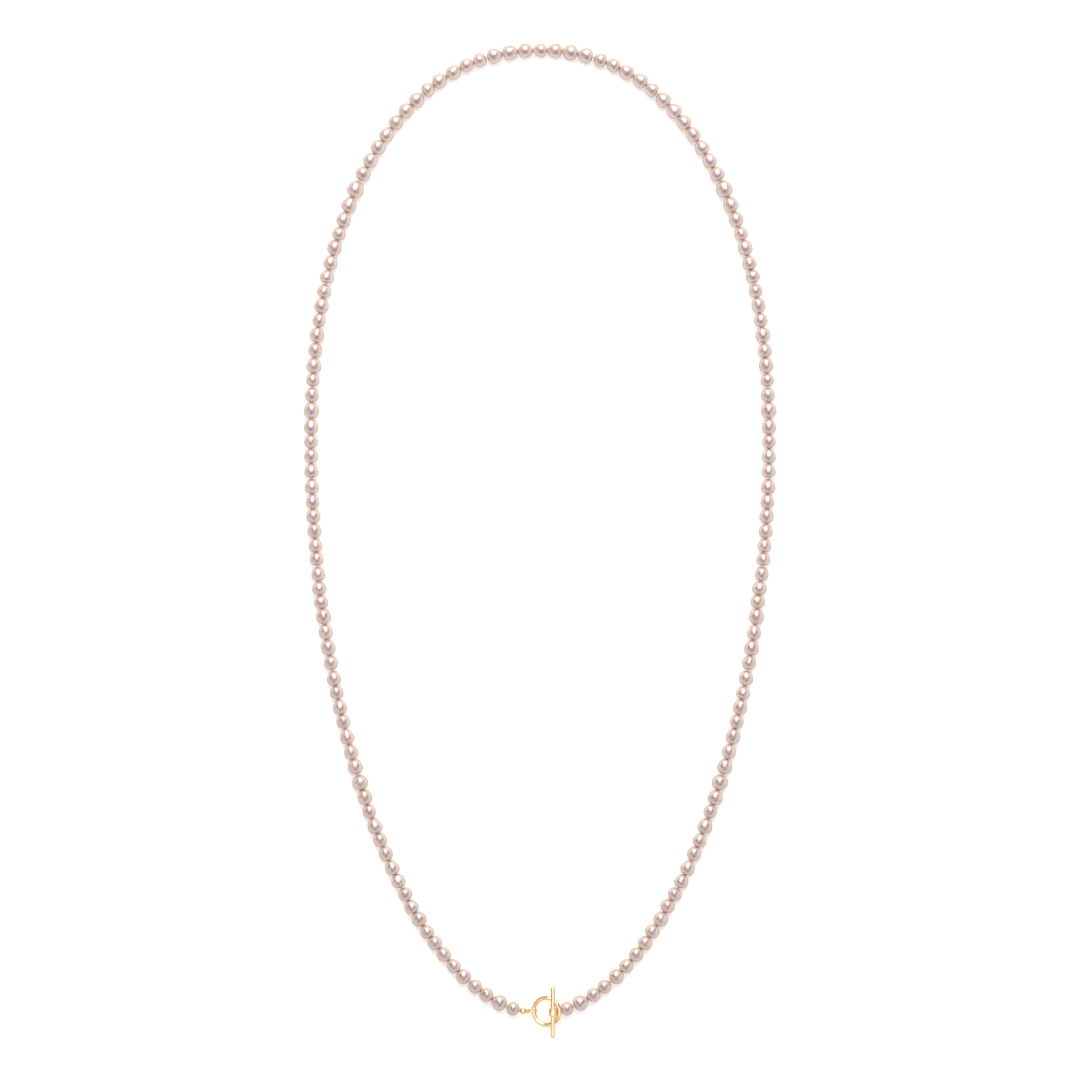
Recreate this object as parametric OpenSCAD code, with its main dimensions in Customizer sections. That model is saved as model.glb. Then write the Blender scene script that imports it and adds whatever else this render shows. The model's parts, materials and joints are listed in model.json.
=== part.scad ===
// A long strand of drop-shaped pearls on one thread, closed by a toggle clasp and laid flat
// in a loop. X runs across the loop, Y from the clasp to the nape, Z up from the surface.
// The origin is on that surface, under the middle of the whole necklace.

/* [Loop] */
// Half of the loop's greatest width, to the thread
loop_half_width = 84; // [70:1:90]
// Height of the nape above the widest line, to the thread
nape_height = 143.8; // [130:0.1:160]
// Depth of the clasp below the widest line
clasp_depth = 209.6; // [190:0.1:225]
// How square the upper half of the loop is, 2 being an ellipse
nape_squareness = 2.2; // [1.9:0.1:2.5]
// How square the lower half of the loop is
clasp_squareness = 1.92; // [1.8:0.02:2.1]

/* [Pearls] */
// Pearls on each side of the nape pearl
pearls_per_side = 75; // [60:1:80]
// Width of a usual pearl
pearl_width = 5.35; // [4.5:0.05:5.6]
// Share by which pearls differ from one another
pearl_spread = 0.08; // [0:0.005:0.085]
// Gap between two pearls on the thread
pearl_gap = 0.24; // [0.22:0.01:0.4]
// Diameter of the hole drilled through a pearl
drill_d = 0.8; // [0.7:0.05:1]
// How much larger the few large pearls are
large_pearl = 1.1; // [1:0.01:1.12]

/* [Thread] */
// Diameter of the silk thread
thread_d = 0.45; // [0.3:0.05:0.5]
// Diameter of the knot inside a bead tip
knot_d = 0.85; // [0.7:0.05:0.9]

/* [Bead tips] */
// Diameter of the two-part ball that hides the knot
tip_d = 2.5; // [2.4:0.1:2.6]
// Thickness of its sheet metal
tip_wall = 0.22; // [0.15:0.01:0.25]
// How far each tip slopes down from its pearl
tip_slope = 8; // [5:1:10]
// Mean diameter of the eye on a tip
tip_eye_d = 1.4; // [1.36:0.02:1.44]

/* [Toggle clasp] */
// Outside diameter of the ring
ring_d = 11.5; // [11.3:0.1:11.7]
// Thickness of the ring's wire
ring_wire = 1.6; // [1.5:0.05:1.6]
// Lift of the ring on the side where the bar's link passes through it
ring_tilt = 19; // [18:0.5:20]
// Length of the bar
bar_length = 19; // [17:0.5:20]
// Diameter of the bar
bar_d = 1.6; // [1.5:0.05:1.6]
// Outside diameter of the collar round the bar
collar_d = 2.9; // [2.7:0.05:2.9]
// Length of the collar along the bar
collar_length = 2.8; // [2.4:0.1:3]

/* [Hidden] */
$fn = 48;

pearl_colour = "#E6D6D2";
thread_colour = "#EFE0CC";
gold = "#E0B04C";

// Clearances and small thicknesses
clear = 0.03;             // between parts that lie on each other
thread_end = 0.02;        // between two lengths of thread that meet in a joint
tip_gap = 0.1;            // between a tip and the pearl beside it
seam = 0.02;              // along the closed edge of a tip
eye_wire = 0.45;          // wire of the tips' eyes
tip_eye_out = 0.4;        // from a tip's ball to the middle of its eye
collar_eye_d = 1.3;       // mean diameter of the collar's eye
collar_eye_wire = 0.5;
collar_eye_out = 0.45;    // from the collar to the middle of its eye
link_wire = 0.65;         // wire of the ring's link
link_d = 3.55;            // its mean diameter
bar_link_wire = 0.6;      // wire of the bar's link
thread_sides = 12;
link_cut = 2;             // degrees left open where a link is closed
waist_depth = 0.1;        // of the groove that holds the collar on the bar
clasp_span = 15.2;        // between the ends of the two end pearls

// ---- The loop: a superellipse of one height above the widest line and another below it
steps = 240;
function superellipse(t, height, n) =
    [loop_half_width * pow(cos(t), 2 / n), height * pow(sin(t), 2 / n)];
loop_points = concat(
    [for (i = [0:steps]) superellipse(90 - 90 * i / steps, nape_height, nape_squareness)],
    [for (i = [1:steps]) let (p = superellipse(90 * i / steps, clasp_depth, clasp_squareness))
        [p.x, -p.y]]
);
function running(v, i = 0, sum = 0, out = []) =
    i == len(v) ? out : running(v, i + 1, sum + v[i], concat(out, [sum + v[i]]));
loop_arcs = concat([0], running(
    [for (i = [1:len(loop_points) - 1]) norm(loop_points[i] - loop_points[i - 1])]));
function loop_x(arc) = lookup(arc, [for (i = [0:len(loop_arcs) - 1]) [loop_arcs[i], loop_points[i].x]]);
function loop_y(arc) = lookup(arc, [for (i = [0:len(loop_arcs) - 1]) [loop_arcs[i], loop_points[i].y]]);
strand_arc = loop_arcs[len(loop_arcs) - 1] - clasp_span / 2;

// ---- The pearls' sizes, matched in pairs from the nape pearl, number 0, to each end
large_pearls = [2, 16, 31, 56];
length_noise = rands(-1, 1, pearls_per_side + 1, 11);
width_noise = rands(-1, 1, pearls_per_side + 1, 23);
drop_noise = rands(-1, 1, pearls_per_side + 1, 37);
function size_of(k) = len(search(k, large_pearls)) > 0 ? large_pearl : 1;
grows_alike = 0.6;        // how much of a pearl's extra length is extra width too
grows_apart = 0.35;       // how much its width varies by itself
share = [for (k = [0:pearls_per_side]) size_of(k) * (1 + pearl_spread * length_noise[k])];
share_sum = running([for (k = [0:pearls_per_side]) k == 0 ? share[0] / 2 : share[k]]);
// Arc from the nape to the gap after pearl k
gap_arc = [for (k = [0:pearls_per_side]) strand_arc * share_sum[k] / share_sum[pearls_per_side]];
widths = [for (k = [0:pearls_per_side]) pearl_width * size_of(k)
    * (1 + pearl_spread * (grows_alike * length_noise[k] + grows_apart * width_noise[k]))];
// Share of a pearl's length that lies on its blunt side, towards the clasp
blunt = [for (k = [0:pearls_per_side]) 0.46 - 0.03 * abs(drop_noise[k])];

// ---- The thread's corners: one in each gap, at the height of the pearls' centres
function mean_radius(k) = (widths[k] + widths[min(k + 1, pearls_per_side)]) / 4;
function sits_low(k) = widths[k] / 2 - (mean_radius(max(k - 1, 0)) + mean_radius(k)) / 2;
lift = max([for (k = [0:pearls_per_side]) sits_low(k)]);
middle_y = (nape_height + widths[0] / 2 + loop_y(gap_arc[pearls_per_side]) - bar_length / 2) / 2;
corners = [for (k = [0:pearls_per_side])
    [loop_x(gap_arc[k]), loop_y(gap_arc[k]) - middle_y, mean_radius(k) + lift]];
function mirrored(p, side) = [side * p.x, p.y, p.z];

// ---- The strand's stiff lengths: the share of a side's pearls after which each one ends
length_ends = [0.04, 0.107, 0.2, 0.293, 0.387, 0.467, 0.547, 0.64, 0.733, 0.84, 0.947];
lengths_per_side = len(length_ends);
function last_of(g) =
    g == lengths_per_side ? pearls_per_side - 1 : round(length_ends[g] * pearls_per_side);
nape_reach = last_of(0);

// ---- The clasp's places
end_corner = corners[pearls_per_side];
clasp_y = end_corner.y;
tip_r = tip_d / 2;
tip_centre_x = end_corner.x - (tip_r + tip_gap - pearl_gap / 2) * cos(tip_slope);
tip_z = end_corner.z - (tip_r + tip_gap - pearl_gap / 2) * sin(tip_slope);
tip_eye_reach = tip_r + tip_eye_out;
eye_x = tip_centre_x - tip_eye_reach * cos(tip_slope);
eye_z = tip_z - tip_eye_reach * sin(tip_slope);
link_z = link_d / 2 + link_wire / 2 + clear;
link_x = -eye_x + sqrt(pow(link_d / 2, 2) - pow(eye_z - link_z, 2));
ring_r = (ring_d - ring_wire) / 2;
rim_x = link_x + (link_d - link_wire - ring_wire) / 2 - 2 * clear;
ring_x = rim_x + ring_r * cos(ring_tilt);
ring_z = link_z + ring_r * sin(ring_tilt);
bar_above = (ring_wire + bar_d) / 2 + clear;
bar_out = sqrt(pow(ring_r, 2) - pow(collar_length / 2, 2))
    - sqrt(pow((collar_d + ring_wire) / 2 + 4 * clear, 2) - pow(bar_above, 2));
bar_x = ring_x + bar_out * cos(ring_tilt) - bar_above * sin(ring_tilt);
bar_z = ring_z + bar_out * sin(ring_tilt) + bar_above * cos(ring_tilt);
collar_eye_reach = collar_d / 2 + collar_eye_out;
collar_eye_z = bar_z - sqrt(pow(collar_eye_reach, 2) - pow(bar_x - eye_x, 2));
bar_link_d = collar_eye_z - eye_z;

// ---- Shapes used more than once

// A closed ring of round wire, or one that lacks a few degrees
module wire_ring(mean_d, wire, open = 0) {
    rotate([0, 0, open / 2])
        rotate_extrude(angle = 360 - open)
            translate([mean_d / 2, 0]) circle(d = wire);
}

// Half the outline of a pearl: one arc from its widest section to the rim of its drill hole
module half_outline(reach, width) {
    r = drill_d / 2;
    beyond = (reach * reach - width * width / 4 + r * r) / (width - 2 * r);
    intersection() {
        translate([-beyond, 0]) circle(r = width / 2 + beyond);
        translate([r, 0]) square(2 * width);
    }
}

// A drilled pearl of number k between its two corners, blunt towards b
module pearl_between(a, b, k) {
    run = b - a;
    long = norm(run) - pearl_gap;
    reach = long * blunt[k];
    translate((a + b) / 2)
        rotate([0, acos(run.z / norm(run)), atan2(run.y, run.x)])
            translate([0, 0, long / 2 - reach]) rotate_extrude() {
                half_outline(reach, widths[k]);
                mirror([0, 1]) half_outline(long - reach, widths[k]);
            }
}

// Thread swept along corners, with rounded ends held back from the joints. An end with a knot
// has the knot's centre as its last corner
module thread_along(points, knot = false) {
    r = thread_d / 2;
    n = len(points) - 1;
    first = (points[1] - points[0]) / norm(points[1] - points[0]);
    last = (points[n - 1] - points[n]) / norm(points[n - 1] - points[n]);
    back = r + thread_end / 2;
    line = [for (i = [0:n])
        i == 0 ? points[0] + back * first :
        i == n && !knot ? points[n] + back * last : points[i]];
    cap = [60, 30];       // degrees of latitude of the rings that round an end
    ball_r = knot ? knot_d / 2 : r;
    ball = knot ? [for (a = [-55:22:60]) a] : [30, 60];
    stations = concat(
        [for (a = cap) [line[0] - r * sin(a) * first, first, r * cos(a)]],
        [for (i = [0:knot ? n - 1 : n]) let (
            before = i == 0 ? first : (line[i] - line[i - 1]) / norm(line[i] - line[i - 1]),
            after = i == n ? -last : (line[i + 1] - line[i]) / norm(line[i + 1] - line[i]))
            [line[i], (before + after) / norm(before + after), r]],
        [for (a = ball) [line[n] - ball_r * sin(a) * last, -last, ball_r * cos(a)]]);
    rings = len(stations);
    points_out = concat(
        [line[0] - r * first],
        [for (s = stations) let (
            across = cross(s[1], [0, 0, 1]) / norm(cross(s[1], [0, 0, 1])),
            up = cross(across, s[1]))
            for (k = [0:thread_sides - 1])
                s[0] + s[2] * (cos(360 * k / thread_sides) * across + sin(360 * k / thread_sides) * up)],
        [line[n] - ball_r * last]);
    function at(i, k) = 1 + i * thread_sides + k % thread_sides;
    polyhedron(points_out, concat(
        [for (k = [0:thread_sides - 1]) [0, at(0, k), at(0, k + 1)]],
        [for (i = [0:rings - 2]) for (k = [0:thread_sides - 1])
            each [[at(i, k), at(i + 1, k), at(i, k + 1)], [at(i + 1, k), at(i + 1, k + 1), at(i, k + 1)]]],
        [for (k = [0:thread_sides - 1]) [at(rings - 1, k), len(points_out) - 1, at(rings - 1, k + 1)]]));
}

// ---- The strand

module pearls_on(side, from, to) {
    color(pearl_colour)
        for (k = [from:to])
            pearl_between(mirrored(corners[k - 1], side), mirrored(corners[k], side), k);
}

module pearls_nape() {
    pearls_on(-1, 1, nape_reach);
    pearls_on(1, 1, nape_reach);
    color(pearl_colour) pearl_between(mirrored(corners[0], -1), corners[0], 0);
}

module thread_nape() {
    color(thread_colour) thread_along(concat(
        [for (k = [nape_reach:-1:0]) mirrored(corners[k], -1)],
        [for (k = [0:nape_reach]) corners[k]]));
}

module thread_on(side, g) {
    from = last_of(g - 1);
    to = g == lengths_per_side ? pearls_per_side : last_of(g);
    run = [for (k = [from:to]) mirrored(corners[k], side)];
    color(thread_colour)
        if (g < lengths_per_side) thread_along(run);
        else thread_along(concat(run, [knot_at(side)]), knot = true);
}

// ---- Bead tips. In a tip's own frame its eye lies along +X and its pearl along -X

knot_x = 0.3;
crimp_x = -0.75;
crimp_length = 0.6;

module at_tip(side) {
    translate([side * tip_centre_x, clasp_y, tip_z])
        rotate([0, 0, side < 0 ? 0 : 180])
            rotate([0, tip_slope, 0]) children();
}
function knot_at(side) = [
    side * (tip_centre_x - knot_x * cos(tip_slope)),
    clasp_y,
    tip_z - knot_x * sin(tip_slope)];

module tip_shell() {
    difference() {
        sphere(r = tip_r);
        sphere(r = tip_r - tip_wall);
        rotate([0, -90, 0]) cylinder(h = tip_d, d = thread_d + 0.15);
    }
}

module tip_half(up) {
    intersection() {
        tip_shell();
        translate([-tip_d, -tip_d, up > 0 ? seam / 2 : -2 * tip_d])
            cube([2 * tip_d, 2 * tip_d, 2 * tip_d - seam / 2]);
    }
}

// The lower cup carries the eye: flat on the left for an upright link, upright on the right
module tip_cup(side) {
    color(gold) at_tip(side) {
        tip_half(-1);
        difference() {
            translate([tip_eye_reach, 0, 0])
                rotate([side < 0 ? 0 : 90, 0, 0]) wire_ring(tip_eye_d, eye_wire);
            sphere(r = tip_r - tip_wall / 2);
            translate([0, -tip_d, seam / 2]) cube([tip_r, 2 * tip_d, tip_d]);
        }
    }
}

module tip_lid(side) {
    color(gold) at_tip(side) tip_half(1);
}

module tip_crimp(side) {
    color("silver") at_tip(side)
        translate([crimp_x, 0, 0]) rotate([0, 90, 0])
            difference() {
                cylinder(h = crimp_length, d = 1);
                translate([0, 0, -1]) cylinder(h = crimp_length + 2, d = thread_d + 0.04);
            }
}

// ---- The toggle clasp

module ring_link() {
    color(gold) translate([link_x, clasp_y, link_z])
        rotate([90, 0, 0]) wire_ring(link_d, link_wire, link_cut);
}

module toggle_ring() {
    color(gold) translate([ring_x, clasp_y, ring_z])
        rotate([0, -ring_tilt, 0]) wire_ring(ring_d - ring_wire, ring_wire);
}

module bar_link() {
    color(gold) translate([eye_x, clasp_y, (eye_z + collar_eye_z) / 2])
        rotate([0, 90, 0]) wire_ring(bar_link_d, bar_link_wire, link_cut);
}

module bar_collar() {
    swing = atan2(bar_x - eye_x, bar_z - collar_eye_z);
    color(gold) translate([bar_x, clasp_y, bar_z])
        rotate([90, 0, 0]) difference() {
            union() {
                cylinder(h = collar_length, d = collar_d, center = true);
                rotate([0, 0, -90 - swing]) translate([collar_eye_reach, 0, 0])
                    wire_ring(collar_eye_d, collar_eye_wire);
            }
            cylinder(h = 2 * collar_length, d = bar_d - 2 * waist_depth + 2 * clear, center = true);
        }
}

module toggle_bar() {
    straight = bar_length - bar_d;
    color(gold) translate([bar_x, clasp_y, bar_z])
        rotate([90, 0, 0]) difference() {
            union() {
                cylinder(h = straight, d = bar_d, center = true);
                for (end = [-1, 1]) translate([0, 0, end * straight / 2]) sphere(d = bar_d);
            }
            difference() {
                cylinder(h = collar_length + 2 * clear, d = 2 * bar_d, center = true);
                cylinder(h = 2 * collar_length, d = bar_d - 2 * waist_depth, center = true);
            }
        }
}

// ---- Which node is drawn

pearls_nape();
thread_nape();
for (side = [-1, 1]) {
    name = side < 0 ? "left" : "right";
    for (g = [1:lengths_per_side]) {
        pearls_on(side, last_of(g - 1) + 1, last_of(g));
        thread_on(side, g);
    }
    pearls_on(side, pearls_per_side, pearls_per_side);
    tip_cup(side);
    tip_lid(side);
    tip_crimp(side);
}
ring_link();
toggle_ring();
bar_link();
bar_collar();
toggle_bar();
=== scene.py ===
"""A long strand of near-round pearls with a gold toggle clasp, laid flat in a tall loop.

Each class below makes and dresses one sub-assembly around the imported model's frame.
"""
import json
import logging
import math
import random
from collections.abc import Callable
from dataclasses import dataclass, field
from enum import Enum

import bmesh
import bpy
import numpy as np
from mathutils import Matrix, Vector


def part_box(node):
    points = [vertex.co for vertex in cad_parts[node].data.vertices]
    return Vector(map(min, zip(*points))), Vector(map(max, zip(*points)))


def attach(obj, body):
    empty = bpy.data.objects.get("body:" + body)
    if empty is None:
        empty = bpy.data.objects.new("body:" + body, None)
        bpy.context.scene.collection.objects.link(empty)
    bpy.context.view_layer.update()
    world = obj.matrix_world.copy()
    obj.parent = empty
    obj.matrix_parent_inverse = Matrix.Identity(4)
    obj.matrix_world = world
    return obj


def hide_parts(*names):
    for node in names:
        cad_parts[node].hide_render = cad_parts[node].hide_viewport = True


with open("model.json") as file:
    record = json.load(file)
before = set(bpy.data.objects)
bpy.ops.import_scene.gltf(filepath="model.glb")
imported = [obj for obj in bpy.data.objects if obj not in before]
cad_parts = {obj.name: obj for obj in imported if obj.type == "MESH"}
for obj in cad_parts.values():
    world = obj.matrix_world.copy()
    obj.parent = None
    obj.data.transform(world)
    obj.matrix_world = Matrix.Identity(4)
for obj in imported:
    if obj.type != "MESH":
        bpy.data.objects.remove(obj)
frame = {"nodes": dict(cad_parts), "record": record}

logging.basicConfig(level=logging.INFO, format="%(message)s")
log = logging.getLogger("necklace")

MM = 0.001
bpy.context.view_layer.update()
NODES = frame["nodes"]
BODY_OF = {node: body for body, nodes in frame["record"]["behaviour"]["bodies"].items()
           for node in nodes}
JOINTS = {joint["name"]: joint for joint in frame["record"]["behaviour"]["joints"]}

Colour = tuple[float, float, float]

SAME_PLACE = 1e-6                # metres within which two corners are one
SAME_WIDTH = 2e-6                # metres within which two corners are equally far out
NEAR_AXIS = 0.62 * MM            # a pearl's corners nearer its axis belong to the drill hole
AXIS_PASSES = 4                  # how often a pearl's axis is found again from its rims


# ---- Shader building --------------------------------------------------------------------------


class Sock:
    """A node socket that adds Math nodes when it is used in an expression."""

    def __init__(self, finish: "Shader", socket: bpy.types.NodeSocket) -> None:
        """Keeps the socket and the shader it belongs to.

        Args:
            finish: The shader that new nodes are added to.
            socket: The output socket.
        """
        self.finish = finish
        self.socket = socket

    def _math(self, operation: str, *values: "Sock | float") -> "Sock":
        """Adds one Math node.

        Args:
            operation: The sum that it does.
            *values: Its inputs in order.

        Returns:
            Its output.
        """
        return self.finish.node("ShaderNodeMath", {"operation": operation},
                                dict(enumerate(values)))

    def __add__(self, other: "Sock | float") -> "Sock":
        """Sum."""
        return self._math("ADD", self, other)

    __radd__ = __add__

    def __sub__(self, other: "Sock | float") -> "Sock":
        """Difference."""
        return self._math("SUBTRACT", self, other)

    def __rsub__(self, other: float) -> "Sock":
        """Difference from a number."""
        return self._math("SUBTRACT", other, self)

    def __mul__(self, other: "Sock | float") -> "Sock":
        """Product."""
        return self._math("MULTIPLY", self, other)

    __rmul__ = __mul__

    def clamped(self) -> "Sock":
        """The value held between 0 and 1."""
        return self.finish.node("ShaderNodeClamp", {}, {0: self})


class Shader:
    """One material, or the room's background, and the nodes in it."""

    def __init__(self, name: str, room: bool = False) -> None:
        """Makes an empty material or background.

        Args:
            name: Its name.
            room: True for a background.
        """
        kind = bpy.data.worlds if room else bpy.data.materials
        self.end = "ShaderNodeOutputWorld" if room else "ShaderNodeOutputMaterial"
        self.material = kind.new(name)
        self.material.use_nodes = True
        self.tree = self.material.node_tree
        self.tree.nodes.clear()

    def node(self, kind: str, settings: dict[str, object],
             inputs: dict[int | str, object], output: int | str = 0) -> Sock:
        """Adds a node.

        Args:
            kind: The node's type.
            settings: Its properties, set before its sockets.
            inputs: Values or sockets by input name or number.
            output: The output wanted.

        Returns:
            The wrapped output socket.
        """
        made = self.tree.nodes.new(kind)
        for key, value in settings.items():
            setattr(made, key, value)
        for key, value in inputs.items():
            if isinstance(value, Sock):
                self.tree.links.new(value.socket, made.inputs[key])
            elif isinstance(value, tuple) and len(value) == 3 and \
                    made.inputs[key].type == "RGBA":
                made.inputs[key].default_value = (*value, 1.0)
            else:
                made.inputs[key].default_value = value
        return Sock(self, made.outputs[output])

    def object_space(self) -> Sock:
        """Object coordinates, in metres."""
        return self.node("ShaderNodeTexCoord", {}, {}, "Object")

    def noise(self, size_mm: float, detail: float = 3.0, roughness: float = 0.55) -> Sock:
        """Cloudy noise.

        Args:
            size_mm: Rough size of one cloud.
            detail: How many finer layers it has.
            roughness: Strength of the finer layers.

        Returns:
            A value about 0.5.
        """
        return self.node("ShaderNodeTexNoise", {}, {
            "Vector": self.object_space(), "Scale": 1 / (size_mm * MM),
            "Detail": detail, "Roughness": roughness}, "Fac")

    def attribute(self, name: str) -> Sock:
        """A number stored on the mesh."""
        return self.node("ShaderNodeAttribute", {"attribute_name": name}, {}, "Fac")

    def mix(self, factor: Sock | float, a: Sock | Colour, b: Sock | Colour) -> Sock:
        """A colour between a and b."""
        return self.node("ShaderNodeMix", {"data_type": "RGBA"}, {0: factor, 6: a, 7: b}, 2)

    def bump(self, height: Sock, strength: float, distance_mm: float) -> Sock:
        """Turns a height into a normal.

        Args:
            height: The height, about 0 to 1.
            strength: How much of it shows.
            distance_mm: What a height of 1 stands for.

        Returns:
            The normal.
        """
        return self.node("ShaderNodeBump", {}, {
            "Height": height, "Strength": strength, "Distance": distance_mm * MM}, "Normal")

    def step(self, value: Sock, start: float, end: float) -> Sock:
        """Makes a soft step.

        Args:
            value: What the step depends on.
            start: Where it is 0.
            end: Where it is 1.

        Returns:
            A value from 0 to 1.
        """
        return self.node("ShaderNodeMapRange", {"interpolation_type": "SMOOTHSTEP"}, {
            "Value": value, "From Min": start, "From Max": end}, "Result")

    def finish(self, surface: Sock) -> bpy.types.Material | bpy.types.World:
        """Connects the surface.

        Args:
            surface: The finished shader.

        Returns:
            The material or the background.
        """
        made = self.tree.nodes.new(self.end)
        self.tree.links.new(surface.socket, made.inputs["Surface"])
        return self.material


@dataclass(frozen=True)
class Nacre:
    """Pearl lustre: a mauve or rosy painted reflection in the middle, a pale body, a warm peach rim
    of painted shade, and warm necks lightened with painted light.
    """

    cream: Colour = (0.77, 0.695, 0.675)
    blush: Colour = (0.70, 0.59, 0.555)
    # mauve and rosy: colours of the painted dark reflection in the middle of each pearl.
    mauve: Colour = (0.30, 0.21, 0.235)
    rosy: Colour = (0.40, 0.235, 0.195)
    # rim: painted shade, a darker warm peach where the pearl turns away from the camera.
    rim: Colour = (0.50, 0.33, 0.235)
    # Warm nacre near the drill holes, made lighter as painted light in the shaded gaps between
    # pearls.
    warm_neck_painted_light: Colour = (0.82, 0.60, 0.44)
    cloud_mm: float = 2.4
    ripple_mm: float = 0.5
    grain_mm: float = 0.08
    # Where the painted dark reflection starts and ends, by how squarely the surface faces the camera,
    # and how far clouds shift its edge.
    painted_reflection_edge: tuple[float, float] = (0.22, 0.06)
    painted_reflection_drift: float = 0.10
    # Where the painted rim shade starts and ends as the surface turns away from the camera.
    painted_rim_shade_edge: tuple[float, float] = (0.16, 0.74)
    # How strongly the painted reflection and the painted rim shade show.
    strength: float = 0.95
    # How strongly the warm neck colour and its painted light show.
    warm_neck_painted_light_strength: float = 0.8
    roughness: float = 0.15
    rippled_roughness: float = 0.12
    metallic: float = 0.45
    lustre: float = 0.95
    lustre_fade: float = 2.0

    def make(self) -> bpy.types.Material:
        """Builds the material.

        Returns:
            The finished material.
        """
        s = Shader("nacre")
        tint = s.attribute("tint")
        clouds = s.noise(self.cloud_mm, 2.0)
        ripple = s.noise(self.ripple_mm, 3.0, 0.6)
        grain = s.noise(self.grain_mm, 2.0)
        facing = s.node("ShaderNodeLayerWeight", {}, {"Blend": 0.5}, "Facing")
        body = s.mix((clouds * 2.0 - 0.6).clamped(), self.blush, self.cream)
        # Painted reflection: a dark mauve or rosy patch in the middle of each pearl, where it faces
        # the camera, standing in for the reflection of the dark room around the light.
        painted_reflection = s.step(facing + self.painted_reflection_drift * clouds, *self.painted_reflection_edge)
        inner = s.mix(self.strength * painted_reflection, body, s.mix(tint, self.mauve, self.rosy))
        # Painted shade: a darker warm peach rim where the surface turns away from the camera.
        outer = s.mix(self.strength * s.step(facing, *self.painted_rim_shade_edge), inner, self.rim)
        # Necks: warm nacre by the drill holes, lightened with painted light in the gaps between
        # pearls.
        colour = s.mix(self.warm_neck_painted_light_strength * s.attribute("pole"), outer, self.warm_neck_painted_light)
        return s.finish(s.node("ShaderNodeBsdfPrincipled", {}, {
            "Base Color": colour,
            "Roughness": self.roughness + self.rippled_roughness * ripple,
            "Metallic": self.metallic,
            "Normal": s.bump(ripple * 0.85 + grain * 0.15, 0.14, 0.06),
            "Coat Weight": (self.lustre - self.lustre_fade * facing).clamped(),
            "Coat Roughness": 0.05,
            "Coat IOR": 1.8, "IOR": 1.5, "Specular IOR Level": 0.1}, "BSDF"))


@dataclass(frozen=True)
class PolishedGold:
    """Polished yellow gold plate with fine wear, and painted shade: a deeper colour where it turns
    away from the camera.
    """

    bright: Colour = (1.0, 0.85, 0.58)
    worn: Colour = (0.97, 0.77, 0.46)
    # Painted shade: the deeper colour where the gold turns away from the camera.
    painted_edge_shade: Colour = (0.80, 0.45, 0.15)
    cloud_mm: float = 1.4
    hair_mm: float = 0.12
    painted_shade_turn: tuple[float, float] = (0.06, 0.6)
    roughness: float = 0.07
    worn_roughness: float = 0.12

    def make(self) -> bpy.types.Material:
        """Builds the material.

        Returns:
            The finished material.
        """
        s = Shader("polished_gold")
        clouds = s.noise(self.cloud_mm, 3.0)
        hairs = s.noise(self.hair_mm, 4.0, 0.7)
        facing = s.node("ShaderNodeLayerWeight", {}, {"Blend": 0.5}, "Facing")
        top = s.mix((clouds * 1.5 - 0.3).clamped(), self.worn, self.bright)
        # Painted shade: deeper colour towards the edges that turn away from the camera.
        colour = s.mix(s.step(facing, *self.painted_shade_turn), top, self.painted_edge_shade)
        return s.finish(s.node("ShaderNodeBsdfPrincipled", {}, {
            "Base Color": colour, "Metallic": 1.0,
            "Roughness": self.roughness + self.worn_roughness * hairs * clouds,
            "Normal": s.bump(clouds * 0.5 + hairs * 0.5, 0.06, 0.03)}, "BSDF"))


@dataclass(frozen=True)
class Silk:
    """Twisted silk thread."""

    light: Colour = (0.93, 0.78, 0.60)
    dark: Colour = (0.74, 0.56, 0.40)
    twist_mm: float = 0.9
    fibre_mm: float = 0.1

    def make(self) -> bpy.types.Material:
        """Builds the material.

        Returns:
            The finished material.
        """
        s = Shader("silk")
        twist = s.node("ShaderNodeTexWave", {"bands_direction": "DIAGONAL"}, {
            "Vector": s.object_space(), "Scale": 1 / (self.twist_mm * MM), "Distortion": 1.5}, "Fac")
        return s.finish(s.node("ShaderNodeBsdfPrincipled", {}, {
            "Base Color": s.mix(twist, self.dark, self.light),
            "Roughness": 0.45 + 0.25 * s.noise(self.fibre_mm), "Sheen Weight": 0.4,
            "Normal": s.bump(twist, 0.5, 0.04)}, "BSDF"))


@dataclass(frozen=True)
class CrimpMetal:
    """Soft bright metal of the crimps hidden in the tips."""

    bright: Colour = (0.74, 0.72, 0.68)
    dull: Colour = (0.6, 0.58, 0.54)
    mark_mm: float = 0.15

    def make(self) -> bpy.types.Material:
        """Builds the material.

        Returns:
            The finished material.
        """
        s = Shader("crimp_metal")
        marks = s.noise(self.mark_mm, 3.0)
        return s.finish(s.node("ShaderNodeBsdfPrincipled", {}, {
            "Base Color": s.mix(marks, self.dull, self.bright), "Metallic": 1.0,
            "Roughness": 0.2 + 0.25 * marks, "Normal": s.bump(marks, 0.2, 0.03)}, "BSDF"))


# ---- Mesh helpers -----------------------------------------------------------------------------


def deselect() -> None:
    """Deselects everything."""
    bpy.ops.object.select_all(action="DESELECT")


def pick(piece: bpy.types.Object) -> None:
    """Selects one piece only and makes it active.

    Args:
        piece: The object.
    """
    deselect()
    piece.select_set(True)
    bpy.context.view_layer.objects.active = piece


def dress(piece: bpy.types.Object, material: bpy.types.Material) -> None:
    """Gives a piece one material."""
    piece.data.materials.clear()
    piece.data.materials.append(material)


def edit_all(piece: bpy.types.Object) -> None:
    """Opens a piece in edit mode with everything selected.

    Args:
        piece: The object.
    """
    pick(piece)
    bpy.ops.object.mode_set(mode="EDIT")
    bpy.ops.mesh.select_all(action="SELECT")


def close_edit() -> None:
    """Points every face outwards and leaves edit mode."""
    bpy.ops.mesh.select_all(action="SELECT")
    bpy.ops.mesh.normals_make_consistent(inside=False)
    bpy.ops.object.mode_set(mode="OBJECT")


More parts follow.
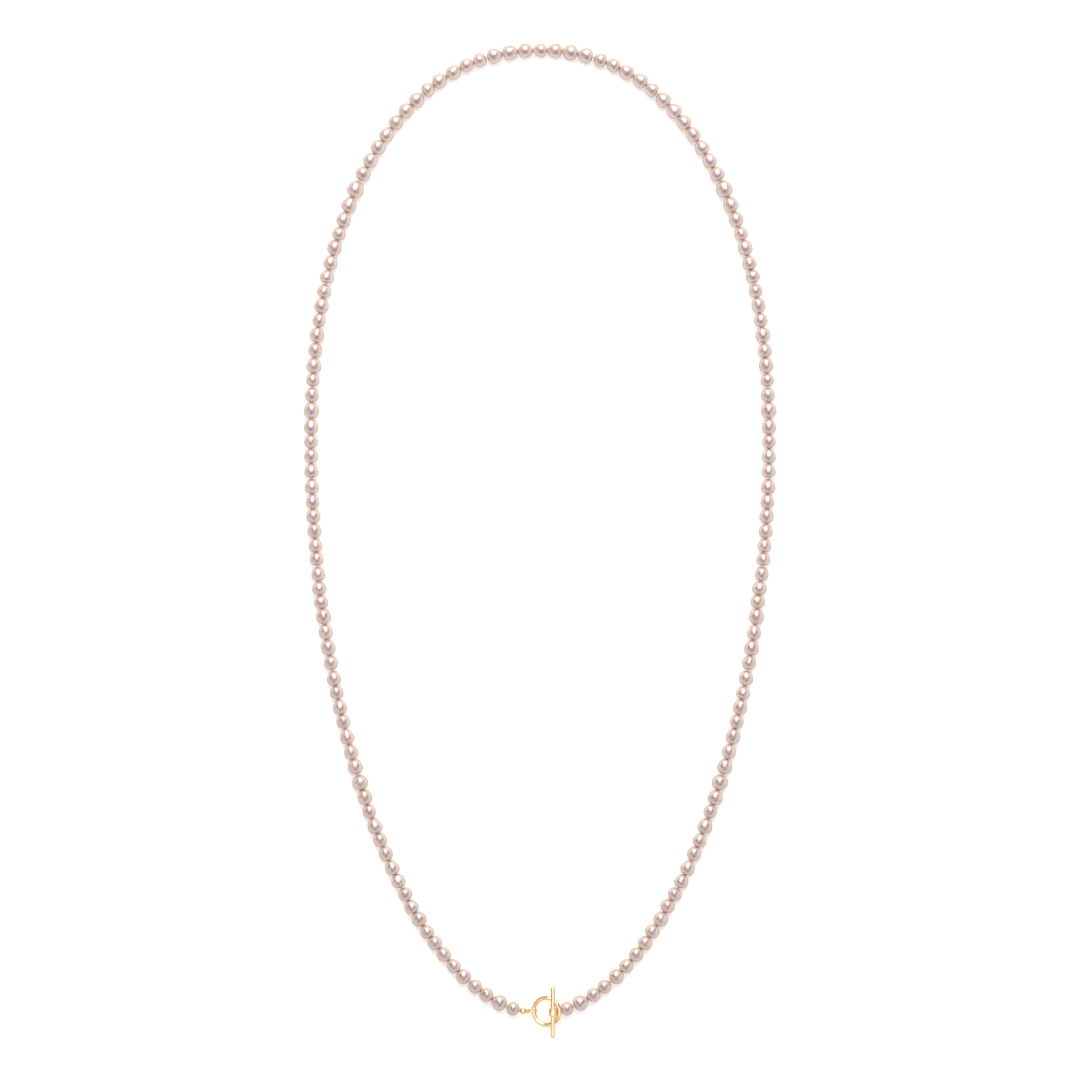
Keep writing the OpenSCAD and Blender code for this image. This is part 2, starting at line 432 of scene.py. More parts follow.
def apply_modifier(piece: bpy.types.Object, kind: str, **settings: object) -> None:
    """Adds a modifier and applies it.

    Args:
        piece: The object.
        kind: The modifier's type.
        **settings: Its properties.
    """
    pick(piece)
    made = piece.modifiers.new(kind.lower(), kind)
    for key, value in settings.items():
        setattr(made, key, value)
    bpy.ops.object.modifier_apply(modifier=made.name)


def round_edges(piece: bpy.types.Object, width_mm: float, segments: int = 2,
                sharp_degrees: float = 50.0) -> None:
    """Bevels a piece's sharp edges.

    Args:
        piece: The object.
        width_mm: The bevel's width.
        segments: How many faces it has across.
        sharp_degrees: The least angle of an edge that is bevelled.
    """
    apply_modifier(piece, "BEVEL", width=width_mm * MM, segments=segments,
                   limit_method="ANGLE", angle_limit=math.radians(sharp_degrees))


def cut_back(piece: bpy.types.Object, start: Vector, outwards: Vector) -> None:
    """Cuts a piece off flat and closes the cut.

    Args:
        piece: The object.
        start: A point of the cut.
        outwards: The side of the cut that is kept.
    """
    edit_all(piece)
    bpy.ops.mesh.bisect(plane_co=start, plane_no=-outwards, use_fill=True, clear_outer=True)
    close_edit()


def stand_for(piece: bpy.types.Object, node: str, material: bpy.types.Material) -> None:
    """Dresses a finished piece and ties it to the node that it stands for.

    Args:
        piece: The piece.
        node: The node that it replaces.
        material: Its finish.
    """
    dress(piece, material)
    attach(piece, BODY_OF[node])
    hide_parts(node)
    log.info("%s: %d faces", piece.name, len(piece.data.polygons))


def smooth(piece: bpy.types.Object, degrees: float = 40.0) -> None:
    """Shades a piece smooth except across sharp edges."""
    pick(piece)
    bpy.ops.object.shade_smooth_by_angle(angle=math.radians(degrees))


def joined(parts: list[bpy.types.Object], name: str) -> bpy.types.Object:
    """Joins parts into one piece.

    Args:
        parts: The objects to join.
        name: The piece's name.

    Returns:
        The piece.
    """
    deselect()
    for part in parts:
        part.select_set(True)
    bpy.context.view_layer.objects.active = parts[0]
    if len(parts) > 1:
        bpy.ops.object.join()
    piece = bpy.context.view_layer.objects.active
    piece.name = name
    return piece


def frame_of(middle: Vector, normal: Vector, across: Vector) -> Matrix:
    """A placing whose Z lies along normal and whose X lies near across.

    Args:
        middle: The new origin.
        normal: Direction of Z.
        across: Rough direction of X.

    Returns:
        The matrix.
    """
    z = normal.normalized()
    y = z.cross(across).normalized()
    x = y.cross(z)
    return Matrix.Translation(middle) @ Matrix((x, y, z)).transposed().to_4x4()


def place(piece: bpy.types.Object, placing: Matrix) -> None:
    """Moves a piece's mesh, and leaves its object at the origin.

    Args:
        piece: The object.
        placing: Where the mesh goes.
    """
    piece.data.transform(piece.matrix_world)
    piece.matrix_world = Matrix.Identity(4)
    piece.data.transform(placing)


def select_near(piece: bpy.types.Object, wanted: Callable[[Vector], bool]) -> None:
    """Opens a piece in edit mode with only the wanted corners selected.

    Args:
        piece: The object.
        wanted: Tells from a corner's place whether it is wanted.
    """
    edit_all(piece)
    bpy.ops.mesh.select_mode(type="VERT")
    work = bmesh.from_edit_mesh(piece.data)
    for vert in work.verts:
        vert.select_set(wanted(vert.co))
    work.select_flush_mode()
    bmesh.update_edit_mesh(piece.data)


def select_faces(piece: bpy.types.Object, wanted: Callable[[Vector], bool]) -> None:
    """Opens a piece in edit mode with only the wanted faces selected.

    Args:
        piece: The object.
        wanted: Tells from a face's centre whether it is wanted.
    """
    edit_all(piece)
    bpy.ops.mesh.select_mode(type="FACE")
    work = bmesh.from_edit_mesh(piece.data)
    for face in work.faces:
        face.select_set(wanted(face.calc_center_median()))
    work.select_flush_mode()
    bmesh.update_edit_mesh(piece.data)


def island_points(node: str) -> list[np.ndarray]:
    """Splits a node's triangles into its loose solids.

    Args:
        node: The node's name.

    Returns:
        The corners of each solid, in metres.
    """
    mesh = NODES[node].data
    work = bmesh.new()
    work.from_mesh(mesh)
    bmesh.ops.remove_doubles(work, verts=work.verts, dist=SAME_PLACE)
    work.verts.ensure_lookup_table()
    seen: set[int] = set()
    islands = []
    for start in work.verts:
        if start.index in seen:
            continue
        stack, found = [start], []
        seen.add(start.index)
        while stack:
            vert = stack.pop()
            found.append(tuple(vert.co))
            for edge in vert.link_edges:
                other = edge.other_vert(vert)
                if other.index not in seen:
                    seen.add(other.index)
                    stack.append(other)
        islands.append(np.array(found))
    work.free()
    return islands


# ---- The pearls -------------------------------------------------------------------------------


@dataclass(frozen=True)
class Seat:
    """Where one drilled pearl lies and how large it is."""

    low: Vector
    high: Vector
    width: float
    widest: float

    @property
    def length(self) -> float:
        """Length between the rims of the drill hole."""
        return (self.high - self.low).length


def seats_of(node: str, hint: Vector | None = None) -> list[Seat]:
    """Reads the place and size of each pearl in a node.

    Args:
        node: The node's name.
        hint: Rough direction of the thread, where the node has only one pearl.

    Returns:
        One seat for each pearl, in order along the strand.
    """
    islands = island_points(node)
    centres = [0.5 * (points.min(0) + points.max(0)) for points in islands]
    order = chain_order(centres)
    islands = [islands[i] for i in order]
    centres = [centres[i] for i in order]
    seats = []
    for i, points in enumerate(islands):
        if hint is None:
            run = centres[min(i + 1, len(centres) - 1)] - centres[max(i - 1, 0)]
        else:
            run = np.array(hint)
        seats.append(seat_from(points, centres[i], run / np.linalg.norm(run)))
    return seats


def chain_order(centres: list[np.ndarray]) -> list[int]:
    """Orders points along the chain that they form.

    Args:
        centres: Centres of neighbouring pearls.

    Returns:
        Their numbers from one end of the chain to the other.
    """
    far = max(range(len(centres)), key=lambda i: max(
        np.linalg.norm(centres[i] - other) for other in centres))
    order = [far]
    left = set(range(len(centres))) - {far}
    while left:
        nearest = min(left, key=lambda i: np.linalg.norm(centres[i] - centres[order[-1]]))
        order.append(nearest)
        left.remove(nearest)
    return order


def seat_from(points: np.ndarray, centre: np.ndarray, run: np.ndarray) -> Seat:
    """Finds a pearl's axis from the rims of its drill hole.

    Args:
        points: The pearl's corners.
        centre: The middle of its box.
        run: Rough direction of its axis.

    Returns:
        The pearl's seat.
    """
    for _ in range(AXIS_PASSES):
        offset = points - centre
        along = offset @ run
        away = np.linalg.norm(offset - np.outer(along, run), axis=1)
        rim = away < NEAR_AXIS
        high = points[rim & (along > 0)].mean(0)
        low = points[rim & (along < 0)].mean(0)
        centre = 0.5 * (high + low)
        run = (high - low) / np.linalg.norm(high - low)
    offset = points - centre
    along = offset @ run
    away = np.linalg.norm(offset - np.outer(along, run), axis=1)
    half = 0.5 * np.linalg.norm(high - low)
    widest = along[away > away.max() - SAME_WIDTH].mean()
    return Seat(Vector(centre - run * half), Vector(centre + run * half),
                2 * float(away.max()), float(widest))


class Form(Enum):
    """The shapes that pearls of this strand have."""

    ROUND = "round"
    DROP = "drop"
    RINGED = "ringed"
    BUTTON = "button"
    DENTED = "dented"


@dataclass
class PearlMould:
    """Models one pearl of unit half-size, with its axis along Z, ready to be copied."""

    form: Form
    seed: int
    hole: float = 0.4 / 2.675
    bluntness: float = 0.05
    lumpiness: float = 0.07
    drop_taper: tuple[float, float] = (0.16, 0.36)
    lump_size: tuple[float, float] = (0.7, 1.3)
    ring_heights: tuple[float, ...] = (-0.35, 0.15, 0.55)
    ring_depth: float = 0.035
    ring_half: float = 0.07
    ring_fade: float = 0.16
    flat_depth: float = 0.07
    flat_reach: float = 0.45
    dent_depth: float = 0.09
    dent_reach: float = 0.22
    dent_height: tuple[float, float] = (0.2, 0.5)
    spot_fade: float = 1.5
    end: float = 0.985
    lip: float = 0.15
    countersink: float = 0.03
    face_sink: float = 0.004
    hole_depth: float = 0.55
    least_inset: float = 0.01
    flush: float = 1e-5
    segments: int = 28
    rings: int = 18

    def model(self) -> bpy.types.Object:
        """Builds the unit pearl.

        Returns:
            The object, which is removed once its copies are made.
        """
        deselect()
        bpy.ops.mesh.primitive_uv_sphere_add(segments=self.segments, ring_count=self.rings,
                                             radius=1.0)
        pearl = bpy.context.object
        pearl.name = f"mould_{self.form.value}_{self.seed}"
        chance = random.Random(self.seed)
        self._swell(pearl, chance)
        self._mark(pearl, chance)
        self._drill(pearl)
        widest = max(math.hypot(vert.co.x, vert.co.y) for vert in pearl.data.vertices)
        edit_all(pearl)
        bpy.ops.transform.resize(value=(1 / widest, 1 / widest, 1 / self.end),
                                 center_override=(0, 0, 0))
        close_edit()
        smooth(pearl, 60)
        return pearl

    def _swell(self, pearl: bpy.types.Object, chance: random.Random) -> None:
        """Makes the ball blunter, a little lumpy, and egg-shaped where it is a drop.

        Args:
            pearl: The ball.
            chance: The mould's random draws.
        """
        apply_modifier(pearl, "CAST", cast_type="CYLINDER", factor=self.bluntness, use_z=False)
        if self.form is Form.DROP:
            apply_modifier(pearl, "SIMPLE_DEFORM", deform_method="TAPER", deform_axis="Z",
                           factor=-chance.uniform(*self.drop_taper))
        lumps = bpy.data.textures.new("lumps", "CLOUDS")
        lumps.noise_scale = chance.uniform(*self.lump_size)
        apply_modifier(pearl, "DISPLACE", texture=lumps, strength=self.lumpiness,
                       mid_level=0.5)

    def _mark(self, pearl: bpy.types.Object, chance: random.Random) -> None:
        """Presses the growth marks of the pearl's form into it.

        Args:
            pearl: The ball.
            chance: The mould's random draws.
        """
        if self.form is Form.RINGED:
            shrink = 1 - self.ring_depth
            for height in self.ring_heights:
                select_near(pearl, lambda co: abs(co.z - height) < self.ring_half)
                bpy.ops.transform.resize(value=(shrink, shrink, 1), center_override=(0, 0, 0),
                                         use_proportional_edit=True,
                                         proportional_edit_falloff="SMOOTH",
                                         proportional_size=self.ring_fade)
                close_edit()
        if self.form in (Form.BUTTON, Form.DENTED):
            flat = self.form is Form.BUTTON
            height = 0.0 if flat else chance.uniform(*self.dent_height)
            spot = Vector((math.sqrt(1 - height * height), 0, height))
            reach = self.flat_reach if flat else self.dent_reach
            depth = self.flat_depth if flat else self.dent_depth
            select_near(pearl, lambda co: (co - spot).length < reach)
            bpy.ops.transform.translate(value=-depth * spot, use_proportional_edit=True,
                                        proportional_edit_falloff="SMOOTH",
                                        proportional_size=self.spot_fade * reach)
            close_edit()

    def _drill(self, pearl: bpy.types.Object) -> None:
        """Drills the pearl: each end is cut flat, inset and pushed inwards.

        Args:
            pearl: The ball.
        """
        for side in (1, -1):
            edit_all(pearl)
            bpy.ops.mesh.bisect(plane_co=(0, 0, side * self.end), plane_no=(0, 0, side),
                                use_fill=True, clear_outer=True)
            bpy.ops.object.mode_set(mode="OBJECT")
            rim = [vert.co.to_2d().length for vert in pearl.data.vertices
                   if abs(vert.co.z - side * self.end) < self.flush]
            select_faces(pearl, lambda centre: abs(centre.z - side * self.end) < self.flush)
            bpy.ops.mesh.inset(thickness=max(self.least_inset, min(rim) - (1 + self.lip) * self.hole),
                               depth=-self.face_sink)
            bpy.ops.mesh.inset(thickness=self.lip * self.hole, depth=-self.countersink)
            bpy.ops.mesh.extrude_region_move(
                TRANSFORM_OT_translate={"value": (0, 0, -side * self.hole_depth)})
            close_edit()


@dataclass
class PearlStrand:
    """All pearls: one piece for each stiff length of the strand and for each end pearl."""

    nacre: bpy.types.Material
    seed: int = 7
    press_mm: float = 0.1
    bend_gap_mm: float = 0.09
    floor_mm: float = 0.02
    tint_power: float = 1.2
    pole_power: float = 6.0
    first_seed: int = 100
    moulds: list[bpy.types.Object] = field(default_factory=list)

    def build(self) -> None:
        """Models the moulds, copies them to every seat and removes them."""
        kinds = [Form.ROUND, Form.DROP, Form.DROP, Form.DROP, Form.RINGED, Form.BUTTON,
                 Form.DENTED, Form.DROP]
        self.moulds = [PearlMould(kind, self.first_seed + i).model()
                       for i, kind in enumerate(kinds)]
        chance = random.Random(self.seed)
        names = sorted(n for n in NODES if n.startswith("pearls_"))
        for name in names:
            self._length_of_pearls(name, seats_of(name), chance)
        for side in ("left", "right"):
            axis = Vector(JOINTS[f"{side}_end_pearl_spin"]["axis"])
            name = f"end_pearl_{side}"
            self._length_of_pearls(name, seats_of(name, axis), chance)
        for mould in self.moulds:
            bpy.data.objects.remove(mould, do_unlink=True)

    def _length_of_pearls(self, node: str, seats: list[Seat], chance: random.Random) -> None:
        """Makes the piece that stands for one node.

        Args:
            node: The node that it replaces.
            seats: Its pearls.
            chance: The strand's random draws.
        """
        parts = []
        for i, seat in enumerate(seats):
            mesh = chance.choice(self.moulds).data.copy()
            mesh.transform(Matrix.Rotation(chance.uniform(0, math.tau), 4, "Z"))
            if seat.widest > 0:
                mesh.transform(Matrix.Rotation(math.pi, 4, "X"))
            below = self.press_mm if i > 0 else -self.bend_gap_mm
            above = self.press_mm if i < len(seats) - 1 else -self.bend_gap_mm
            self._fit(mesh, seat, below, above)
            self._colour(mesh, seat, chance.random() ** self.tint_power)
            part = bpy.data.objects.new("pearl", mesh)
            bpy.context.collection.objects.link(part)
            parts.append(part)
        stand_for(joined(parts, f"{node}_nacre"), node, self.nacre)

    def _fit(self, mesh: bpy.types.Mesh, seat: Seat, below: float, above: float) -> None:
        """Stretches a unit pearl to its seat and puts it there.

        Args:
            mesh: The unit pearl.
            seat: Its place and size.
            below: How far it reaches past its seat towards the pearl before, in millimetres.
            above: How far it reaches past its seat towards the pearl after, in millimetres.
        """
        axis = (seat.high - seat.low).normalized()
        middle = 0.5 * (seat.high + seat.low) + axis * seat.widest
        up = seat.length / 2 - seat.widest + above * MM
        down = seat.length / 2 + seat.widest + below * MM
        turn = axis.to_track_quat("Z", "Y").to_matrix()
        for vert in mesh.vertices:
            reach = up if vert.co.z > 0 else down
            local = Vector((vert.co.x * seat.width / 2, vert.co.y * seat.width / 2,
                            vert.co.z * reach))
            vert.co = middle + turn @ local
        lowest = min(vert.co.z for vert in mesh.vertices)
        if lowest < self.floor_mm * MM:
            mesh.transform(Matrix.Translation((0, 0, self.floor_mm * MM - lowest)))

    def _colour(self, mesh: bpy.types.Mesh, seat: Seat, tint: float) -> None:
        """Stores the colour of the pearl's painted dark reflection, and how near each point is to the
        drill hole, which places the necks' painted light.

        Args:
            mesh: The pearl, in its seat.
            seat: Its place and size.
            tint: 0 for a mauve painted reflection, 1 for a rosy one.
        """
        axis = (seat.high - seat.low).normalized()
        middle = 0.5 * (seat.high + seat.low)
        poles = [min(1.0, abs((vert.co - middle).dot(axis)) * 2 / seat.length) ** self.pole_power
                 for vert in mesh.vertices]
        mesh.attributes.new("tint", "FLOAT", "POINT").data.foreach_set(
            "value", [tint] * len(mesh.vertices))
        mesh.attributes.new("pole", "FLOAT", "POINT").data.foreach_set("value", poles)


# ---- Thread and clasp -------------------------------------------------------------------------


@dataclass
class Thread:
    """The silk thread's lengths, which keep their exact shape."""

    silk: bpy.types.Material

    def build(self) -> None:
        """Dresses every length of thread."""
        for name, node in NODES.items():
            if name.startswith("thread_"):
                dress(node, self.silk)
        log.info("thread: dressed")


@dataclass
class WireLoop:
    """A loop of round wire in the XY plane, whole or with its two cut ends nearly meeting."""

    across_mm: float
    wire_mm: float
    gap_degrees: float = 0.0
    steps: int = 72
    sides: int = 20
    cut_at: float = 0.0
    cut_bevel_mm: float = 0.05

    def model(self) -> bpy.types.Object:
        """Spins the wire round.

        Returns:
            The loop.
        """
        deselect()
        bpy.ops.mesh.primitive_circle_add(
            vertices=self.sides, radius=self.wire_mm * MM / 2,
            location=(self.across_mm * MM / 2, 0, 0), rotation=(math.pi / 2, 0, 0))
        loop = bpy.context.object
        bpy.ops.object.transform_apply(location=True, rotation=True, scale=True)
        edit_all(loop)
        bpy.ops.mesh.spin(steps=self.steps, angle=math.radians(360 - self.gap_degrees),
                          center=(0, 0, 0), axis=(0, 0, 1))
        bpy.ops.mesh.select_all(action="SELECT")
        bpy.ops.mesh.remove_doubles(threshold=SAME_PLACE)
        if self.gap_degrees:
            bpy.ops.mesh.select_all(action="SELECT")
            bpy.ops.mesh.fill_holes(sides=0)
        close_edit()
        if self.gap_degrees:
            round_edges(loop, self.cut_bevel_mm, sharp_degrees=60)
        loop.data.transform(Matrix.Rotation(
            math.radians(self.cut_at + self.gap_degrees / 2), 4, "Z"))
        smooth(loop)
        return loop


@dataclass
class BeadTip:
    """A two-part ball that hides the thread's knot, with the eye that a link passes through."""

    side: str
    gold: bpy.types.Material
    radius_mm: float = 1.25
    wall_mm: float = 0.22
    seam_mm: float = 0.04
    slope: float = 8.0
    eye_mm: float = 1.4
    eye_wire_mm: float = 0.45
    eye_out_mm: float = 0.4
    eye_from: float = 0.93
    mouth_mm: float = 0.6
    mouth_length_mm: float = 2.0
    mouth_at_mm: float = 1.5
    edge_mm: float = 0.035

    def build(self) -> None:
        """Models the cup with its eye and the lid."""
        low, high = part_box(f"{self.side}_tip_lid")
        inward = 1 if self.side == "left" else -1
        radius = self.radius_mm * MM
        middle = Vector(((high.x if inward > 0 else low.x) - inward * radius,
                         0.5 * (low.y + high.y), high.z - radius))
        slope = math.radians(self.slope)
        across = Vector((inward * math.cos(slope), 0, -math.sin(slope)))
        normal = Vector((inward * math.sin(slope), 0, math.cos(slope)))
        placing = frame_of(middle, normal, across)
        lid = self._half(up=True)
        cup = self._half(up=False)
        reach = self.radius_mm + self.eye_out_mm
        eye = WireLoop(self.eye_mm, self.eye_wire_mm, steps=40, sides=16).model()
        flat = Matrix.Rotation(math.pi / 2, 4, "X") if inward < 0 else Matrix.Identity(4)
        eye.data.transform(Matrix.Translation((reach * MM, 0, 0)) @ flat)
        cut_back(eye, Vector((self.radius_mm * self.eye_from * MM, 0, 0)), Vector((1, 0, 0)))
        for parts, part in (([lid], "lid"), ([cup, eye], "cup")):
            piece = joined(parts, f"{self.side}_tip_{part}_shell")
            place(piece, placing)
            stand_for(piece, f"{self.side}_tip_{part}", self.gold)

    def _half(self, up: bool) -> bpy.types.Object:
        """Half the ball, rolled in at its rim, with its half of the thread's mouth.

        Args:
            up: True for the upper half.

        Returns:
            The half shell.
        """
        deselect()
        bpy.ops.mesh.primitive_uv_sphere_add(segments=40, ring_count=24,
                                             radius=self.radius_mm * MM)
        half = bpy.context.object
        edit_all(half)
        side = 1 if up else -1
        bpy.ops.mesh.bisect(plane_co=(0, 0, side * self.seam_mm * MM / 2),
                            plane_no=(0, 0, -side), clear_outer=True)
        close_edit()
        apply_modifier(half, "SOLIDIFY", thickness=self.wall_mm * MM, offset=-1.0)
        deselect()
        bpy.ops.mesh.primitive_cylinder_add(
            vertices=24, radius=self.mouth_mm * MM / 2, depth=self.mouth_length_mm * MM,
            location=(-self.mouth_at_mm * MM, 0, 0), rotation=(0, math.pi / 2, 0))
        drill = bpy.context.object
        apply_modifier(half, "BOOLEAN", operation="DIFFERENCE", solver="EXACT", object=drill)
        bpy.data.objects.remove(drill, do_unlink=True)
        round_edges(half, self.edge_mm)
        smooth(half, 50)
        return half


@dataclass
class ToggleClasp:
    """The links, the toggle ring, the collar and the bar."""

    gold: bpy.types.Material
    cut_degrees: float = 2.0
    ring_mm: float = 9.9
    ring_wire_mm: float = 1.6
    seam_at: float = 2.2
    seam_half: float = 0.035
    seam_width: float = 0.98538
    ring_link_mm: float = 3.55
    ring_link_wire_mm: float = 0.65
    bar_link_wire_mm: float = 0.6
    bar_mm: float = 1.6
    bar_length_mm: float = 19.0
    bar_end: float = 0.49
    waist_mm: float = 1.4
    waist_length_mm: float = 2.86
    waist_step_mm: float = 0.02
    collar_mm: float = 2.9
    collar_bore_mm: float = 1.46
    collar_length_mm: float = 2.8
    collar_rim_mm: float = 0.28
    collar_eye_mm: float = 1.3
    collar_eye_wire_mm: float = 0.5
    collar_eye_from: float = 0.45

    def build(self) -> None:
        """Models every part of the clasp."""
        self._links()
        self._ring()
        self._bar()
        self._collar()

    def _finish(self, piece: bpy.types.Object, node: str, placing: Matrix) -> None:
        """Places a piece, dresses it and ties it to its node.

        Args:
            piece: The piece.
            node: The node that it replaces.
            placing: Where its own frame lies.
        """
        place(piece, placing)
        piece.name = f"{node}_gold"
        stand_for(piece, node, self.gold)

    def _links(self) -> None:
        """The ring's upright link and the bar's link, each closed on its cut."""
        joint = JOINTS["ring_link_spin"]
        loop = WireLoop(self.ring_link_mm, self.ring_link_wire_mm, self.cut_degrees,
                        steps=60, sides=20, cut_at=115).model()
        self._finish(loop, "ring_link", frame_of(
            Vector(joint["pos_m"]), Vector((0, 1, 0)), Vector((1, 0, 0))))
        joint = JOINTS["bar_link_spin"]
        low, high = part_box("bar_link")
        across = (high.z - low.z) / MM - self.bar_link_wire_mm
        loop = WireLoop(across, self.bar_link_wire_mm, self.cut_degrees,
                        steps=48, sides=18, cut_at=200).model()
        self._finish(loop, "bar_link", frame_of(
            Vector(joint["pos_m"]), Vector((1, 0, 0)), Vector((0, 1, 0))))

    def _ring(self) -> None:
        """The toggle ring, a whole loop of heavy wire with its soldered seam."""
        loop = WireLoop(self.ring_mm, self.ring_wire_mm, steps=120, sides=32).model()
        select_near(loop, lambda co: abs(math.atan2(co.y, co.x) - self.seam_at) < self.seam_half)
        spine = Vector((math.cos(self.seam_at), math.sin(self.seam_at), 0))
        bpy.ops.transform.resize(value=(self.seam_width,) * 3,
                                 center_override=spine * self.ring_mm * MM / 2)
        close_edit()
        joint = JOINTS["ring_spin"]
        self._finish(loop, "toggle_ring", frame_of(
            Vector(joint["pos_m"]), Vector(joint["axis"]), Vector((1, 0, 0))))

    def _bar(self) -> None:
        """The bar: round ended, with the shallow groove that holds the collar."""
        deselect()
        bpy.ops.mesh.primitive_cylinder_add(vertices=40, radius=self.bar_mm * MM / 2,
                                            depth=self.bar_length_mm * MM)
        bar = bpy.context.object
        round_edges(bar, self.bar_end * self.bar_mm, segments=9, sharp_degrees=60)
        half = self.waist_length_mm * MM / 2
        step = self.waist_step_mm * MM
        edit_all(bar)
        for height in (half, -half, half - step, step - half):
            bpy.ops.mesh.select_all(action="SELECT")
            bpy.ops.mesh.bisect(plane_co=(0, 0, height), plane_no=(0, 0, 1))
        close_edit()
        select_near(bar, lambda co: abs(co.z) < half - step / 2)
        narrow = self.waist_mm / self.bar_mm
        bpy.ops.transform.resize(value=(narrow, narrow, 1), center_override=(0, 0, 0))
        close_edit()
        smooth(bar, 35)
        joint = JOINTS["bar_spin"]
        self._finish(bar, "toggle_bar", frame_of(
            Vector(joint["pos_m"]), Vector((0, 1, 0)), Vector((1, 0, 0))))

    def _collar(self) -> None:
        """The collar: a short tube with rolled rims, and the eye that hangs below it."""
        deselect()
        bpy.ops.mesh.primitive_cylinder_add(vertices=48, radius=self.collar_mm * MM / 2,
                                            depth=self.collar_length_mm * MM,
                                            end_fill_type="NOTHING")
        tube = bpy.context.object
        apply_modifier(tube, "SOLIDIFY", offset=-1.0,
                       thickness=(self.collar_mm - self.collar_bore_mm) * MM / 2)
        edit_all(tube)
        close_edit()
        round_edges(tube, self.collar_rim_mm, segments=5)
        smooth(tube, 50)
        middle = Vector(JOINTS["bar_spin"]["pos_m"])
        eye_at = Vector(JOINTS["bar_turn"]["pos_m"])
        placing = frame_of(middle, Vector((0, 1, 0)), Vector((1, 0, 0)))
        eye = WireLoop(self.collar_eye_mm, self.collar_eye_wire_mm, steps=40, sides=16).model()
        eye.data.transform(Matrix.Translation(placing.inverted() @ eye_at))
        outside = (placing.inverted() @ eye_at).normalized()
        cut_back(eye, outside * self.collar_mm * self.collar_eye_from * MM, outside)
        self._finish(joined([tube, eye], "collar"), "bar_collar", placing)


@dataclass
class Crimps:
    """The crimps sealed in the tips, which keep their exact shape."""

    metal: bpy.types.Material

    def build(self) -> None:
        """Dresses both crimps."""
        for side in ("left", "right"):
            dress(NODES[f"{side}_tip_crimp"], self.metal)
        log.info("crimps: dressed")


# ---- Floor, light and camera ------------------------------------------------------------------


@dataclass(frozen=True)
class DarkCard:
    """A soft dark patch in the room, which bright metal and nacre reflect."""

    azimuth: float
    from_zenith: float
    radius: float
    depth: float
    fade: tuple[float, float] = (1.3, 0.75)

    def direction(self) -> tuple[float, float, float]:
        """Direction of its middle."""
        turn, lean = math.radians(self.azimuth), math.radians(self.from_zenith)
        return (math.sin(lean) * math.cos(turn), math.sin(lean) * math.sin(turn),
                math.cos(lean))

    def shade(self, s: Shader, towards: Sock) -> Sock:
        """How much light it leaves.

        Args:
            s: The room's background.
            towards: The direction looked at.

        Returns:
            1 outside the card, less inside it.
        """
        near = s.node("ShaderNodeVectorMath", {"operation": "DOT_PRODUCT"},
                      {0: towards, 1: self.direction()}, "Value")
        start, end = (math.cos(math.radians(self.radius * part)) for part in self.fade)
        inside = s.step(near, start, end)
        return 1.0 - self.depth * inside


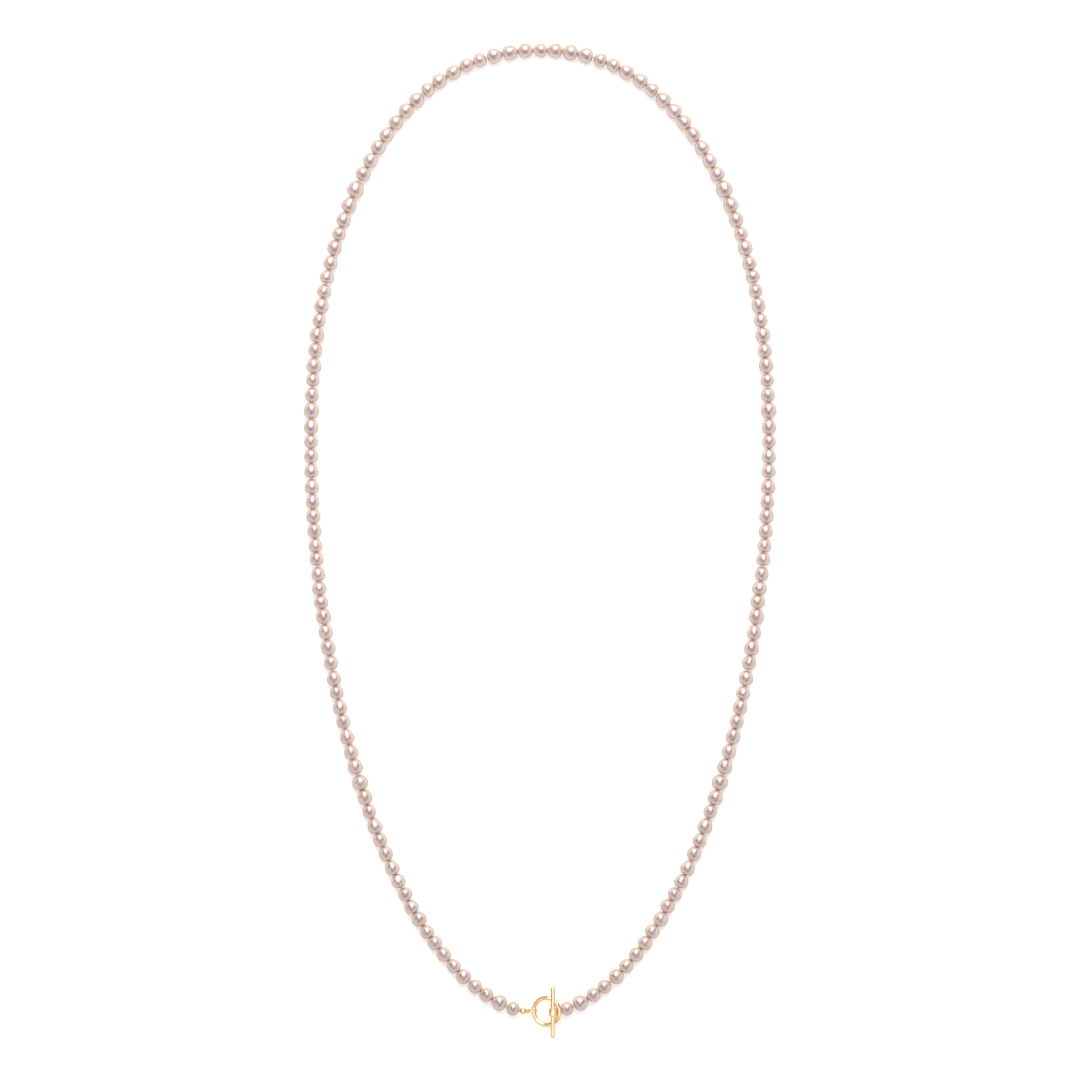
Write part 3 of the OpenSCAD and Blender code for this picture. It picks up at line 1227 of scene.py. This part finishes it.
@dataclass
class Studio:
    """A plain pale floor, a large soft light beyond the nape and a camera straight above."""

    view_width: float = 0.396
    view_level_mm: float = 3.0
    lens: float = 110.0
    sensor: float = 36.0
    key_watts: float = 15.0
    key_size: float = 1.45
    key_place: tuple[float, float, float] = (0.0, 0.86, 0.97)
    floor_size: float = 6.0
    floor_gap_mm: float = 0.2
    floor_white: Colour = (0.88, 0.88, 0.88)
    floor_glow: float = 0.28
    room_strength: float = 1.2
    horizon: float = 0.5
    overhead: tuple[float, float] = (0.5, 0.95)
    dark: Colour = (0.10, 0.05, 0.025)
    cards: tuple[DarkCard, ...] = (DarkCard(-90, 33, 14, 0.85), DarkCard(135, 55, 22, 0.9),
                                   DarkCard(45, 55, 22, 0.9), DarkCard(168, 72, 20, 0.9))

    def build(self) -> None:
        """Makes the floor, the light, the room and the camera."""
        self._floor()
        self._key()
        self._room()
        self._camera()
        bpy.context.scene.view_settings.view_transform = "Standard"

    def _floor(self) -> None:
        """A wide matte light table that the necklace lies on."""
        deselect()
        bpy.ops.mesh.primitive_grid_add(x_subdivisions=2, y_subdivisions=2,
                                        size=self.floor_size,
                                        location=(0, 0, -self.floor_gap_mm * MM))
        floor = bpy.context.object
        floor.name = "floor"
        s = Shader("floor_white")
        dress(floor, s.finish(s.node("ShaderNodeBsdfPrincipled", {}, {
            "Base Color": self.floor_white, "Roughness": 0.9, "Specular IOR Level": 0.1,
            "Emission Color": (1.0, 1.0, 1.0), "Emission Strength": self.floor_glow}, "BSDF")))

    def _key(self) -> None:
        """A large round light aimed at the middle of the loop."""
        deselect()
        bpy.ops.object.light_add(type="AREA", location=self.key_place)
        key = bpy.context.object
        key.name = "soft_key"
        key.data.shape = "DISK"
        key.data.size = self.key_size
        key.data.energy = self.key_watts
        key.rotation_euler = (-key.location).to_track_quat("-Z", "Y").to_euler()

    def _room(self) -> None:
        """A pale room, brightest overhead, with a few dark cards."""
        s = Shader("room", room=True)
        towards = s.node("ShaderNodeTexCoord", {}, {}, "Generated")
        height = s.node("ShaderNodeVectorMath", {"operation": "DOT_PRODUCT"},
                        {0: towards, 1: (0.0, 0.0, 1.0)}, "Value")
        bright = self.horizon + (1 - self.horizon) * s.step(height, *self.overhead)
        for card in self.cards:
            bright = bright * card.shade(s, towards)
        bpy.context.scene.world = s.finish(s.node("ShaderNodeBackground", {}, {
            "Color": s.mix(bright, self.dark, (1.0, 1.0, 1.0)),
            "Strength": self.room_strength}, "Background"))

    def _camera(self) -> None:
        """A long lens straight above the middle of the loop."""
        distance = self.view_width / 2 / math.tan(math.atan(self.sensor / 2 / self.lens))
        data = bpy.data.cameras.new("camera")
        data.lens = self.lens
        data.sensor_width = self.sensor
        camera = bpy.data.objects.new("camera", data)
        camera.location = (0, 0, distance + self.view_level_mm * MM)
        bpy.context.collection.objects.link(camera)
        bpy.context.scene.camera = camera


def main() -> None:
    """Builds the necklace piece by piece, then its surroundings."""
    PearlStrand(Nacre().make()).build()
    Thread(Silk().make()).build()
    gold = PolishedGold().make()
    for side in ("left", "right"):
        BeadTip(side, gold).build()
    ToggleClasp(gold).build()
    Crimps(CrimpMetal().make()).build()
    Studio().build()


if __name__ == "__main__":
    main()
